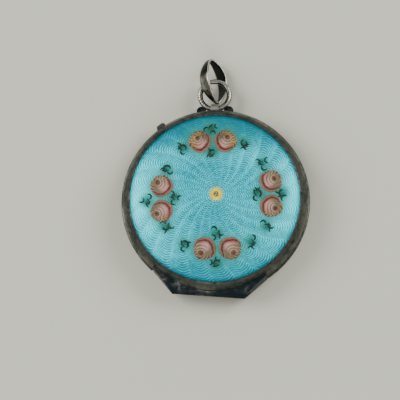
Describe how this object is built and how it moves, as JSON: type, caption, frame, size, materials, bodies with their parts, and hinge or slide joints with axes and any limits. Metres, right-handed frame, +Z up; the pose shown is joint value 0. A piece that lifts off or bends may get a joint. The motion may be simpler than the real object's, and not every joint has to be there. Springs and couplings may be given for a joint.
{
  "type": "pill box",
  "caption": "Round hinged pill box worn as a pendant: domed lid with engine-turned enamel and painted roses, snap rim, thumb-piece, lug, jump ring and ribbon bail.",
  "frame": {"origin": "centre of the flat underside", "axes": "+Z up through the lid, +Y towards the lug and bail, hinge pin parallel to X on the -Y side"},
  "size_m": [0.032, 0.0415, 0.0069],
  "materials": {
    "case_silver": "tarnished, soft polish",
    "finding_silver": "polished, dark in the recesses",
    "gilt": "thin gilding",
    "plate_silver": "engine turned, bright",
    "enamel": "fired, glossy",
    "rose_paint": "fired enamel paint under a gloss",
    "leaf_paint": "fired enamel paint under a gloss",
    "gold_foil": "bright foil"
  },
  "bodies": {
    "base": {"base_pan": "case_silver", "wall_bead": "case_silver", "bearer_ring": "gilt", "hinge_seat_base": "case_silver", "hinge_knuckle_left": "case_silver", "hinge_knuckle_right": "case_silver", "hinge_pin": "case_silver", "lug": "case_silver", "lug_eye": "finding_silver"},
    "lid": {"lid_rim": "case_silver", "guilloche_plate": "plate_silver", "enamel_dome": "enamel", "gold_star": "gold_foil", "painted_roses": "rose_paint", "painted_leaves": "leaf_paint", "lid_liner": "gilt", "thumb_piece": "finding_silver", "hinge_seat_lid": "case_silver", "hinge_knuckle_middle": "case_silver"},
    "ring": {"jump_ring": "finding_silver"},
    "bail": {"bail": "finding_silver"}
  },
  "joints": [
    {"name": "lid_hinge", "type": "hinge", "parent": "base", "child": "lid", "pos_m": [0, -0.01578, 0.0033], "axis": [1, 0, 0], "range_deg": [0, 100]},
    {"name": "ring_swing", "type": "hinge", "parent": "base", "child": "ring", "pos_m": [-0.00142, 0.01624, 0.00262], "axis": [0.9962, 0.0872, 0], "range_deg": [0, 72]},
    {"name": "bail_swing", "type": "hinge", "parent": "ring", "child": "bail", "pos_m": [-0.00389, 0.01977, 0.00235], "axis": [0.3399, 0.9127, 0.2269], "range_deg": [0, 60]}
  ]
}
